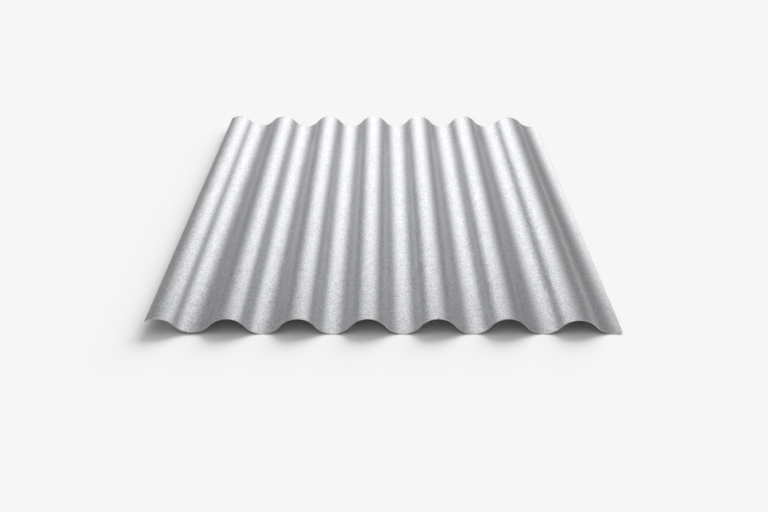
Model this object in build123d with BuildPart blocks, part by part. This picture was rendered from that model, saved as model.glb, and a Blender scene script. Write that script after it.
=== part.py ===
from build123d import *
import os
from math import atan, cos, degrees, sin

# Corrugated metal sheet: one thin sheet of coated steel, roll-formed into round waves.
# It lies flat. X runs across the waves, Y along them and Z up. The origin is on the level
# that the troughs rest on, under the middle of the sheet.

# Driving dimensions, in millimetres
wave_pitch = 76.0       # crest to crest
wave_depth = 18.0       # trough to crest, on the same face of the sheet
sheet_thickness = 0.6
sheet_length = 775.0    # along the waves
cover_waves = 6         # whole waves from the first crest to the last one
overlap_lip = 13.0      # down-turned edge past the first crest, along the bend
underlap_lip = 9.5      # up-turned edge past the last trough, along the bend
lap_relief = 1.8        # the first trough and the last crest are this much shallower

# Sizes that follow from them, all on the middle of the thickness
half_pitch = wave_pitch / 2
trough_height = sheet_thickness / 2
crest_height = trough_height + wave_depth


def bend_radius(rise):
    """Radius of the two equal arcs that climb by rise over half a pitch, level at both ends."""
    return (rise**2 + half_pitch**2) / (4 * abs(rise))


def bend_angle(rise):
    """Angle of each of those two arcs in degrees, positive where the sheet climbs."""
    return degrees(2 * atan(rise / half_pitch))


# Crests and troughs in turn, from the overlap edge on the left to the underlap edge on the
# right. In a side lap the first crest and trough lie over the last ones of the next sheet,
# so the first trough is raised and the last crest is lowered to let the two sheets nest.
apex_heights = [crest_height, trough_height] * (cover_waves + 1)
apex_heights[1] += lap_relief
apex_heights[-2] -= lap_relief

# The lips carry on the full wave's arc past the outermost crest and trough.
lip_radius = bend_radius(wave_depth)
overlap_turn = overlap_lip / lip_radius     # in radians
underlap_turn = underlap_lip / lip_radius

# The section is centred between its two cut edges and starts at the left one.
overlap_run = lip_radius * sin(overlap_turn)
underlap_run = lip_radius * sin(underlap_turn)
sheet_width = overlap_run + half_pitch * (len(apex_heights) - 1) + underlap_run
overlap_drop = lip_radius * (1 - cos(overlap_turn))
left_edge = (-sheet_width / 2, crest_height - overlap_drop)
left_slope = (cos(overlap_turn), sin(overlap_turn))

with BuildPart() as corrugated_sheet:
    with BuildSketch(Plane.XZ):
        with BuildLine():
            # Down-turned lip, up to the first crest
            arc = JernArc(left_edge, left_slope, lip_radius, -degrees(overlap_turn))
            # One pair of tangent arcs for each flank between a crest and a trough
            for start_height, end_height in zip(apex_heights, apex_heights[1:]):
                rise = end_height - start_height
                arc = JernArc(arc @ 1, arc % 1, bend_radius(rise), bend_angle(rise))
                arc = JernArc(arc @ 1, arc % 1, bend_radius(rise), -bend_angle(rise))
            # Up-turned lip, past the last trough
            JernArc(arc @ 1, arc % 1, lip_radius, degrees(underlap_turn))
        trace(line_width=sheet_thickness)
    extrude(amount=sheet_length / 2, both=True)

corrugated_sheet.part.label = "corrugated_sheet"
os.makedirs("parts", exist_ok=True)
export_step(corrugated_sheet.part, "parts/corrugated_sheet.step")
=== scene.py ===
"""Corrugated metal sheet: models the zinc-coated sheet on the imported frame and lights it.

All lengths are in metres. X runs across the waves, Y along them and Z up, as in the frame.
"""

import logging
from dataclasses import dataclass, field
from enum import Enum
from math import atan, ceil, copysign, cos, pi, radians, sin, tan

import bmesh
import bpy
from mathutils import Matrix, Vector

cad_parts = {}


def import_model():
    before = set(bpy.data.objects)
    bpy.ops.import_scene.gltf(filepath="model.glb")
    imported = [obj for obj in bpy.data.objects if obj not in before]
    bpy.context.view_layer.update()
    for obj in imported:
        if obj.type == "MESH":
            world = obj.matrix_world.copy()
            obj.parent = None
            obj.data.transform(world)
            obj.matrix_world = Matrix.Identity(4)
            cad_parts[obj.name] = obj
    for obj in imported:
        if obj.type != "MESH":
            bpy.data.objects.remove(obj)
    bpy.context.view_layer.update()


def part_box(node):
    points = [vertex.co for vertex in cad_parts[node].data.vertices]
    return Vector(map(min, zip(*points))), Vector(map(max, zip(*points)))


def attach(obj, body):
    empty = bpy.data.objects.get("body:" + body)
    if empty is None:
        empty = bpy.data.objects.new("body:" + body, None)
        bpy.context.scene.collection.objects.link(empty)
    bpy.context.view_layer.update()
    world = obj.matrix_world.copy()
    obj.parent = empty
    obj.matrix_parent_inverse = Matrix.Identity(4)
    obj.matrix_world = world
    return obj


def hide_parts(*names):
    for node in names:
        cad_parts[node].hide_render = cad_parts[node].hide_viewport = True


LOG = logging.getLogger("corrugated_sheet")

Colour = tuple[float, float, float, float]
Triple = tuple[float, float, float]
Socket = bpy.types.NodeSocket

WHITE: Colour = (1.0, 1.0, 1.0, 1.0)
MIDDLE_COLOUR: Triple = (0.5, 0.5, 0.5)
HALF_LIGHT = 0.5


class Surface(Enum):
    """Kinds of face on the sheet, each with the number of its material slot."""

    COATED = 0
    CUT = 1


class Bearing(Enum):
    """Sides of the sheet that a card can stand past, each with its turn about Z from the back."""

    BACK = 0.0
    LEFT = pi / 2
    FRONT = pi
    RIGHT = -pi / 2


class Graph:
    """Adds nodes to one node tree and joins their sockets."""

    def __init__(self, tree: bpy.types.NodeTree) -> None:
        """Takes over a node tree and clears it.

        Args:
            tree: the node tree.
        """
        self.tree = tree
        tree.nodes.clear()

    def node(self, kind: str, **settings: object) -> bpy.types.Node:
        """Adds a node.

        Args:
            kind: Blender's name for the type of node.
            settings: the node's properties, by name.

        Returns:
            The new node.
        """
        made = self.tree.nodes.new(kind)
        for name, value in settings.items():
            setattr(made, name, value)
        return made

    def feed(self, target: Socket, value: object) -> None:
        """Gives an input its value.

        Args:
            target: the input.
            value: another node's output, or a plain number, vector or colour.
        """
        if isinstance(value, Socket):
            self.tree.links.new(value, target)
        else:
            target.default_value = value

    def place(self) -> Socket:
        """Finds the point on the surface.

        Returns:
            The point, in the object's own frame.
        """
        return self.node("ShaderNodeTexCoord").outputs["Object"]

    def axes(self, vector: Socket) -> dict[str, Socket]:
        """Splits a vector.

        Args:
            vector: the vector.

        Returns:
            Its X, Y and Z, by name.
        """
        made = self.node("ShaderNodeSeparateXYZ")
        self.feed(made.inputs["Vector"], vector)
        return {axis: made.outputs[axis] for axis in "XYZ"}

    def math(self, operation: str, first: object, second: object = 0.0) -> Socket:
        """Adds a Math node.

        Args:
            operation: its operation, such as MULTIPLY.
            first: a number or an output.
            second: a number or an output, where the operation takes two.

        Returns:
            The result.
        """
        made = self.node("ShaderNodeMath", operation=operation)
        self.feed(made.inputs[0], first)
        self.feed(made.inputs[1], second)
        return made.outputs["Value"]

    def vector(self, operation: str, first: object, second: object = (0.0, 0.0, 0.0)) -> Socket:
        """Adds a Vector Math node.

        Args:
            operation: its operation, such as ADD.
            first: a vector or an output.
            second: a vector or an output, where the operation takes two.

        Returns:
            The resulting vector.
        """
        made = self.node("ShaderNodeVectorMath", operation=operation)
        self.feed(made.inputs[0], first)
        self.feed(made.inputs[1], second)
        return made.outputs["Vector"]

    def ramp(self, value: Socket, start: float, end: float, low: float, high: float,
             blend: str = "LINEAR") -> Socket:
        """Maps one range of a value to another and stops at both ends.

        Args:
            value: the value to map.
            start: where the result is low.
            end: where the result is high.
            low: the result at start.
            high: the result at end.
            blend: how the result goes from low to high.

        Returns:
            The mapped value.
        """
        made = self.node("ShaderNodeMapRange", interpolation_type=blend, clamp=True)
        self.feed(made.inputs["Value"], value)
        numbers = {"From Min": start, "From Max": end, "To Min": low, "To Max": high}
        for name, number in numbers.items():
            self.feed(made.inputs[name], number)
        return made.outputs["Result"]

    def noise(self, size: float, detail: float) -> Socket:
        """Adds soft noise over the surface.

        Args:
            size: the size of its largest spots.
            detail: how many finer layers it has.

        Returns:
            A value from 0 to 1.
        """
        made = self.node("ShaderNodeTexNoise")
        self.feed(made.inputs["Vector"], self.place())
        self.feed(made.inputs["Scale"], 1 / size)
        self.feed(made.inputs["Detail"], detail)
        return made.outputs["Fac"]

    def mix(self, factor: Socket, first: object, second: object) -> Socket:
        """Mixes two colours.

        Args:
            factor: the share of the second one.
            first: a colour or an output.
            second: a colour or an output.

        Returns:
            The mixed colour.
        """
        made = self.node("ShaderNodeMix", data_type="RGBA")
        values = {"Factor_Float": factor, "A_Color": first, "B_Color": second}
        for target in made.inputs:
            if target.identifier in values:
                self.feed(target, values[target.identifier])
        return next(output for output in made.outputs if output.identifier == "Result_Color")

    def bumps(self, height: Socket, relief: float) -> bpy.types.Node:
        """Adds a Bump node.

        Args:
            height: the height, from 0 to 1.
            relief: how far the highest points are above the lowest.

        Returns:
            The node, which bumps the surface's own normal until it is fed another.
        """
        made = self.node("ShaderNodeBump")
        self.feed(made.inputs["Distance"], relief)
        self.feed(made.inputs["Height"], height)
        return made

    def end(self, kind: str, shader: Socket) -> None:
        """Ends the tree.

        Args:
            kind: Blender's name for the type of output.
            shader: what the output shows.
        """
        self.feed(self.node(kind).inputs["Surface"], shader)

    def end_in_metal(self, colour: Socket, roughness: object, normal: Socket) -> None:
        """Ends a material's tree in metal.

        Args:
            colour: the metal's colour.
            roughness: a number or an output.
            normal: the bumped normal.
        """
        metal = self.node("ShaderNodeBsdfPrincipled")
        self.feed(metal.inputs["Metallic"], 1.0)
        self.feed(metal.inputs["Base Color"], colour)
        self.feed(metal.inputs["Roughness"], roughness)
        self.feed(metal.inputs["Normal"], normal)
        self.end("ShaderNodeOutputMaterial", metal.outputs["BSDF"])


def new_material(name: str) -> tuple[bpy.types.Material, Graph]:
    """Makes an empty material.

    Args:
        name: the material's name.

    Returns:
        The material and its graph.
    """
    made = bpy.data.materials.new(name)
    made.use_nodes = True
    return made, Graph(made.node_tree)


def new_object(name: str, work: bmesh.types.BMesh) -> bpy.types.Object:
    """Turns a finished bmesh into an object of the scene.

    Args:
        name: the object's name.
        work: the shape, which is freed.

    Returns:
        The object, at the origin.
    """
    data = bpy.data.meshes.new(name)
    work.to_mesh(data)
    work.free()
    made = bpy.data.objects.new(name, data)
    bpy.context.scene.collection.objects.link(made)
    return made


@dataclass(frozen=True)
class ZincCoat:
    """Zinc coat: satin metal with a fine spangle of crystals, a little scuffed beside the cuts."""

    name: str = "zinc_coat"
    dark_crystal: Colour = (0.297, 0.302, 0.310, 1.0)
    bright_crystal: Colour = (0.728, 0.738, 0.760, 1.0)
    crystal_size: float = 0.0013
    crystal_lean: float = radians(3.0)
    smoothest: float = 0.30
    roughest: float = 0.39
    grit_size: float = 0.0007
    grit_detail: float = 2.0
    grit_share: float = 0.25
    grit_relief: float = 0.000004
    cloud_size: float = 0.08
    cloud_detail: float = 3.0
    cloud_share: float = 0.12
    scuffed: Colour = (0.39, 0.395, 0.40, 1.0)
    scuff_reach: float = 0.002
    scuff_size: float = 0.003
    scuff_detail: float = 2.0
    scuff_start: float = 0.4
    scuff_full: float = 0.7
    scuff_roughness: float = 0.1

    def grain(self, graph: Graph, crystals: Socket, grit: Socket) -> Socket:
        """Mixes the shade of the crystals with fine grit and faint clouds.

        Args:
            graph: the coat's graph.
            crystals: a random shade for each crystal.
            grit: fine noise.

        Returns:
            The shade, from 0 to 1.
        """
        clouds = graph.noise(self.cloud_size, self.cloud_detail)
        crystal_part = graph.math("MULTIPLY", crystals, 1 - self.grit_share - self.cloud_share)
        grit_part = graph.math("MULTIPLY", grit, self.grit_share)
        cloud_part = graph.math("MULTIPLY", clouds, self.cloud_share)
        return graph.math("ADD", graph.math("ADD", crystal_part, grit_part), cloud_part)

    def lean(self, graph: Graph, random_colour: Socket) -> Socket:
        """Leans each crystal a little its own way.

        Args:
            graph: the coat's graph.
            random_colour: a random colour for each crystal.

        Returns:
            The leaning normal.
        """
        centred = graph.vector("SUBTRACT", random_colour, MIDDLE_COLOUR)
        # The centred colour goes half a unit each way, so its full reach is twice the lean.
        reach = 2 * tan(self.crystal_lean)
        small = graph.vector("MULTIPLY", centred, (reach, reach, reach))
        normal = graph.node("ShaderNodeNewGeometry").outputs["Normal"]
        return graph.vector("NORMALIZE", graph.vector("ADD", normal, small))

    def scuff(self, graph: Graph, half_size: Vector) -> Socket:
        """Finds how scuffed the coat is, which it is in spots beside the cut edges.

        Args:
            graph: the coat's graph.
            half_size: half of the sheet's width and length.

        Returns:
            The share of scuffed metal.
        """
        axes = graph.axes(graph.place())
        past_side = graph.math("SUBTRACT", graph.math("ABSOLUTE", axes["X"]), half_size.x)
        past_end = graph.math("SUBTRACT", graph.math("ABSOLUTE", axes["Y"]), half_size.y)
        past_edge = graph.math("MAXIMUM", past_side, past_end)
        nearness = graph.ramp(past_edge, -self.scuff_reach, 0.0, 0.0, 1.0)
        blotches = graph.noise(self.scuff_size, self.scuff_detail)
        spots = graph.ramp(blotches, self.scuff_start, self.scuff_full, 0.0, 1.0)
        return graph.math("MULTIPLY", nearness, spots)

    def material(self, half_size: Vector) -> bpy.types.Material:
        """Makes the material.

        Args:
            half_size: half of the sheet's width and length.

        Returns:
            The coat's material.
        """
        made, graph = new_material(self.name)
        crystals = graph.node("ShaderNodeTexVoronoi", feature="F1")
        graph.feed(crystals.inputs["Vector"], graph.place())
        graph.feed(crystals.inputs["Scale"], 1 / self.crystal_size)
        random_colour = crystals.outputs["Color"]
        shades = graph.axes(random_colour)
        grit = graph.noise(self.grit_size, self.grit_detail)
        scuff = self.scuff(graph, half_size)

        grain = self.grain(graph, shades["X"], grit)
        clean = graph.mix(grain, self.dark_crystal, self.bright_crystal)
        satin = graph.ramp(shades["Y"], 0.0, 1.0, self.smoothest, self.roughest)
        rubbed = graph.math("MULTIPLY", scuff, self.scuff_roughness)
        bumps = graph.bumps(grit, self.grit_relief)
        graph.feed(bumps.inputs["Normal"], self.lean(graph, random_colour))
        graph.end_in_metal(colour=graph.mix(scuff, clean, self.scuffed),
                           roughness=graph.math("ADD", satin, rubbed),
                           normal=bumps.outputs["Normal"])
        return made


@dataclass(frozen=True)
class ShearedSteel:
    """Bare steel of the cut edges, with fine marks of the shear across the thickness."""

    name: str = "sheared_steel"
    dark_mark: Colour = (0.36, 0.365, 0.37, 1.0)
    bright_mark: Colour = (0.66, 0.665, 0.67, 1.0)
    mark_size: float = 0.0004
    mark_detail: float = 2.0
    roughness: float = 0.42
    relief: float = 0.00001

    def material(self) -> bpy.types.Material:
        """Makes the material.

        Returns:
            The cut edges' material.
        """
        made, graph = new_material(self.name)
        marks = graph.noise(self.mark_size, self.mark_detail)
        graph.end_in_metal(colour=graph.mix(marks, self.dark_mark, self.bright_mark),
                           roughness=self.roughness,
                           normal=graph.bumps(marks, self.relief).outputs["Normal"])
        return made


@dataclass(frozen=True)
class Bend:
    """One round bend of the section, on the middle of the thickness. A positive turn climbs."""

    radius: float
    turn: float


@dataclass
class CorrugatedSheet:
    """The roll-formed sheet: its left cut edge swept through all bends, then drawn out lengthwise."""

    name: str = "wave_sheet"
    node: str = "corrugated_sheet"
    body: str = "root"
    slot: str = "coated_steel"
    wave_pitch: float = 0.076
    wave_depth: float = 0.018
    thickness: float = 0.0006
    cover_waves: int = 6
    overlap_lip: float = 0.013
    underlap_lip: float = 0.0095
    lap_relief: float = 0.0018
    facet_turn: float = radians(3.0)
    widest_cut: float = 0.0009
    edge_break: float = 0.0001
    rim_angle: float = radians(60.0)
    crease_angle: float = radians(15.0)
    coat: ZincCoat = field(default_factory=ZincCoat)
    cut: ShearedSteel = field(default_factory=ShearedSteel)

    def flank_bends(self, rise: float) -> list[Bend]:
        """Finds the two equal bends between a crest and a trough.

        Args:
            rise: the height gained over half a pitch, negative on the way down.

        Returns:
            The two bends, level at their outer ends.
        """
        half_pitch = self.wave_pitch / 2
        radius = (rise**2 + half_pitch**2) / (4 * abs(rise))
        turn = 2 * atan(rise / half_pitch)
        return [Bend(radius, turn), Bend(radius, -turn)]

    def bends(self) -> list[Bend]:
        """Lists the bends of the whole section.

        Returns:
            The bends from the down-turned overlap edge to the up-turned underlap edge.
        """
        heights = [self.wave_depth, 0.0] * (self.cover_waves + 1)
        heights[1] += self.lap_relief
        heights[-2] -= self.lap_relief
        lip_radius = self.flank_bends(self.wave_depth)[0].radius
        found = [Bend(lip_radius, -self.overlap_lip / lip_radius)]
        for start, end in zip(heights, heights[1:]):
            found += self.flank_bends(end - start)
        found.append(Bend(lip_radius, self.underlap_lip / lip_radius))
        return found

    @staticmethod
    def upward(slope: float) -> Vector:
        """Finds the direction square to the sheet.

        Args:
            slope: the angle at which the sheet climbs there.

        Returns:
            The direction, out of the top face.
        """
        return Vector((-sin(slope), 0, cos(slope)))

    def sweep_section(self, work: bmesh.types.BMesh) -> None:
        """Sweeps the left cut edge through all bends, into a flat strip that is the section.

        Args:
            work: the empty mesh that gets the strip.
        """
        bends = self.bends()
        slope = -bends[0].turn
        middle = Vector((0, 0, 0))
        half_edge = self.upward(slope) * (self.thickness / 2)
        ends = [work.verts.new(middle - half_edge), work.verts.new(middle + half_edge)]
        rim = [*ends, work.edges.new(ends)]
        for bend in bends:
            reach = copysign(bend.radius, bend.turn)
            centre = middle + self.upward(slope) * reach
            steps = ceil(abs(bend.turn) / self.facet_turn)
            swept = bmesh.ops.spin(work, geom=rim, cent=centre, axis=(0, -1, 0),
                                   angle=bend.turn, steps=steps)
            rim = swept["geom_last"]
            slope += bend.turn
            middle = centre - self.upward(slope) * reach

    def mark_cut_faces(self, work: bmesh.types.BMesh) -> None:
        """Gives bare steel to the cut faces, the only ones about as narrow as the sheet is thick.

        Args:
            work: the solid sheet.
        """
        for face in work.faces:
            if min(edge.calc_length() for edge in face.edges) < self.widest_cut:
                face.material_index = Surface.CUT.value

    def break_edges(self, work: bmesh.types.BMesh) -> None:
        """Rounds the rims of the cuts and marks which edges shade smoothly.

        Args:
            work: the solid sheet.
        """
        rims = [edge for edge in work.edges if edge.calc_face_angle(0) > self.rim_angle]
        bmesh.ops.bevel(work, geom=rims, offset=self.edge_break, offset_type="OFFSET", affect="EDGES",
                        segments=2, profile=0.5, material=-1, clamp_overlap=True)
        for face in work.faces:
            face.smooth = True
        for edge in work.edges:
            edge.smooth = edge.calc_face_angle(0) < self.crease_angle

    def build(self) -> bpy.types.Object:
        """Models the sheet in its node's place and dresses it.

        Returns:
            The sheet's object, riding on its body.
        """
        low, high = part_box(self.node)
        work = bmesh.new()
        self.sweep_section(work)
        corner = Vector(min(vert.co[axis] for vert in work.verts) for axis in range(3))
        bmesh.ops.translate(work, verts=work.verts, vec=low - corner)
        drawn = bmesh.ops.extrude_face_region(work, geom=work.faces[:])
        far_end = [item for item in drawn["geom"] if isinstance(item, bmesh.types.BMVert)]
        bmesh.ops.translate(work, verts=far_end, vec=(0, high.y - low.y, 0))
        bmesh.ops.recalc_face_normals(work, faces=work.faces)
        self.mark_cut_faces(work)
        self.break_edges(work)

        piece = new_object(self.name, work)
        finishes = {Surface.COATED: self.coat.material((high - low) / 2),
                    Surface.CUT: self.cut.material()}
        for surface in Surface:
            piece.data.materials.append(finishes[surface])
        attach(piece, self.body)
        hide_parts(self.node)
        return piece


@dataclass(frozen=True)
class FloorPaint:
    """Pale matt paint, which greys far away so that the floor meets the dome softly."""

    name: str = "floor_paint"
    near_shade: float = 0.93
    far_shade: float = 0.37
    fade_start: float = 16.0
    fade_end: float = 56.0

    def material(self) -> bpy.types.Material:
        """Makes the material.

        Returns:
            The floor's material.
        """
        made, graph = new_material(self.name)
        distance = graph.node("ShaderNodeVectorMath", operation="LENGTH")
        graph.feed(distance.inputs[0], graph.place())
        shade = graph.ramp(distance.outputs["Value"], self.fade_start, self.fade_end,
                           self.near_shade, self.far_shade, "SMOOTHSTEP")
        paint = graph.node("ShaderNodeBsdfDiffuse")
        graph.feed(paint.inputs["Color"], shade)
        graph.end("ShaderNodeOutputMaterial", paint.outputs["BSDF"])
        return made


@dataclass
class GlowCard:
    """A folded card beside or over the sheet, whose soft glow only the metal's reflections show.

    The card stands up from its foot at the far end to its fold, and goes on from there to its near
    end. Its glow is brightest along its middle, half as bright at its half width, and is added to
    what is behind it.
    """

    name: str
    bearing: Bearing = Bearing.BACK
    near_end: float = 0.507
    near_height: float = 0.507
    far_end: float = 3.32
    fold_height: float = 0.739
    foot_height: float = 0.185
    near_glow: float = 1.56
    far_glow: float = 1.51
    near_half_width: float = 0.332
    far_half_width: float = 0.655
    steepness: float = 2.5
    half_span: float = 1.9

    def glow(self) -> bpy.types.Material:
        """Makes the card's material.

        Returns:
            A see-through material with the glow.
        """
        made, graph = new_material(f"{self.name}_glow")
        axes = graph.axes(graph.place())
        ends = (self.near_end, self.far_end)
        strength = graph.ramp(axes["Y"], *ends, self.near_glow, self.far_glow)
        half_width = graph.ramp(axes["Y"], *ends, self.near_half_width, self.far_half_width)
        off_middle = graph.math("DIVIDE", graph.math("ABSOLUTE", axes["X"]), half_width)
        bell = graph.math("POWER", HALF_LIGHT, graph.math("POWER", off_middle, self.steepness))
        light = graph.node("ShaderNodeEmission")
        graph.feed(light.inputs["Strength"], graph.math("MULTIPLY", strength, bell))
        both = graph.node("ShaderNodeAddShader")
        graph.feed(both.inputs[0], graph.node("ShaderNodeBsdfTransparent").outputs["BSDF"])
        graph.feed(both.inputs[1], light.outputs["Emission"])
        graph.end("ShaderNodeOutputMaterial", both.outputs["Shader"])
        return made

    def build(self) -> bpy.types.Object:
        """Folds the card and turns it to its side.

        Returns:
            The card's object, which is part of the stage.
        """
        work = bmesh.new()
        corners = ((side, self.far_end, self.foot_height) for side in (-self.half_span, self.half_span))
        rim = [work.edges.new([work.verts.new(corner) for corner in corners])]
        to_fold = (0, 0, self.fold_height - self.foot_height)
        to_near_end = (0, self.near_end - self.far_end, self.near_height - self.fold_height)
        for step in (to_fold, to_near_end):
            grown = bmesh.ops.extrude_edge_only(work, edges=rim)["geom"]
            moved = [item for item in grown if isinstance(item, bmesh.types.BMVert)]
            bmesh.ops.translate(work, verts=moved, vec=step)
            rim = [item for item in grown if isinstance(item, bmesh.types.BMEdge)]
        card = new_object(self.name, work)
        card.data.materials.append(self.glow())
        card.rotation_euler = (0, 0, self.bearing.value)
        card.visible_camera = False
        card.visible_diffuse = False
        card.visible_shadow = False
        return card


def side_card(name: str, bearing: Bearing) -> GlowCard:
    """Gives the plain leaning card that stands past a long side of the sheet.

    Args:
        name: the card's name.
        bearing: the side.

    Returns:
        The card, not yet built.
    """
    return GlowCard(name, bearing, near_end=2.7, near_height=1.5, far_end=3.2, fold_height=0.3,
                    foot_height=0.2, near_glow=0.9, far_glow=0.9, near_half_width=1.2,
                    far_half_width=1.2, half_span=2.6)


def overhead_card() -> GlowCard:
    """Gives the level card that hangs over the sheet, brightest along the middle of the waves.

    Returns:
        The card, not yet built.
    """
    return GlowCard("overhead_card", near_end=-1.5, near_height=2.4, far_end=1.5, fold_height=2.4,
                    foot_height=2.3, near_glow=0.6, far_glow=0.6, near_half_width=0.7,
                    far_half_width=0.7, half_span=2.4)


def studio_cards() -> list[GlowCard]:
    """Lists the cards beside and over the sheet.

    Returns:
        The cards, not yet built.
    """
    return [
        GlowCard("back_card"),
        GlowCard("front_card", Bearing.FRONT),
        side_card("left_card", Bearing.LEFT),
        side_card("right_card", Bearing.RIGHT),
        overhead_card(),
    ]


@dataclass
class Studio:
    """Plain soft studio: a pale floor, a dome brighter overhead, a low key lamp and five cards."""

    floor_half: float = 60.0
    floor_level: float = -0.00005
    paint: FloorPaint = field(default_factory=FloorPaint)
    horizon: float = 0.36
    zenith: float = 0.65
    dusk_end: float = radians(30.0)
    noon_start: float = radians(65.0)
    key_height: float = radians(26.0)
    key_bearing: float = radians(22.0)
    key_spread: float = radians(50.0)
    key_strength: float = 3.6
    cards: list[GlowCard] = field(default_factory=studio_cards)

    def build_floor(self) -> bpy.types.Object:
        """Lays the floor under the sheet.

        Returns:
            The floor's object.
        """
        work = bmesh.new()
        bmesh.ops.create_grid(work, x_segments=1, y_segments=1, size=self.floor_half)
        bmesh.ops.translate(work, verts=work.verts, vec=(0, 0, self.floor_level))
        floor = new_object("floor", work)
        floor.data.materials.append(self.paint.material())
        return floor

    def build_dome(self) -> bpy.types.World:
        """Puts up the dome of light.

        Returns:
            The scene's world.
        """
        world = bpy.data.worlds.new("studio_dome")
        world.use_nodes = True
        graph = Graph(world.node_tree)
        ray = graph.axes(graph.node("ShaderNodeTexCoord").outputs["Generated"])
        height = graph.math("ARCSINE", ray["Z"])
        strength = graph.ramp(height, self.dusk_end, self.noon_start, self.horizon, self.zenith,
                              "SMOOTHSTEP")
        sky = graph.node("ShaderNodeBackground")
        graph.feed(sky.inputs["Color"], WHITE)
        graph.feed(sky.inputs["Strength"], strength)
        graph.end("ShaderNodeOutputWorld", sky.outputs["Background"])
        bpy.context.scene.world = world
        return world

    def build_key(self) -> bpy.types.Object:
        """Shines the key lamp from behind the right side, to light the floor and cast the shadow.

        Returns:
            The lamp's object.
        """
        lamp = bpy.data.lights.new("key_lamp", "SUN")
        lamp.angle = self.key_spread
        lamp.energy = self.key_strength
        key = bpy.data.objects.new("key_lamp", lamp)
        bpy.context.scene.collection.objects.link(key)
        key.rotation_euler = (pi / 2 - self.key_height, 0, pi - self.key_bearing)
        key.visible_glossy = False
        return key

    def build(self) -> list[bpy.types.Object]:
        """Sets the whole studio up.

        Returns:
            The floor, the key lamp and the cards.
        """
        self.build_dome()
        bpy.context.scene.view_settings.view_transform = "Standard"
        return [self.build_floor(), self.build_key(), *(card.build() for card in self.cards)]


@dataclass
class PhotoCamera:
    """Camera at the photograph's place, straight in front of the sheet and looking down on it."""

    lens: float = 53.30
    sensor: float = 36.0
    stand_off: float = 1.4836
    eye_height: float = 0.5611
    look_down: float = radians(23.173)

    def build(self) -> bpy.types.Object:
        """Sets the camera up.

        Returns:
            The scene's camera.
        """
        data = bpy.data.cameras.new("photo_camera")
        data.lens = self.lens
        data.sensor_width = self.sensor
        camera = bpy.data.objects.new("photo_camera", data)
        bpy.context.scene.collection.objects.link(camera)
        camera.location = (0, -self.stand_off, self.eye_height)
        camera.rotation_euler = (pi / 2 - self.look_down, 0, 0)
        bpy.context.scene.camera = camera
        return camera


def main() -> None:
    """Builds the sheet, the studio and the camera."""
    logging.basicConfig(level=logging.INFO, format="%(name)s: %(message)s")
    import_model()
    sheet = CorrugatedSheet().build()
    LOG.info("%s: %d faces", sheet.name, len(sheet.data.polygons))
    for prop in Studio().build():
        LOG.info("stage: %s", prop.name)
    LOG.info("camera: %s", PhotoCamera().build().name)


if __name__ == "__main__":
    main()
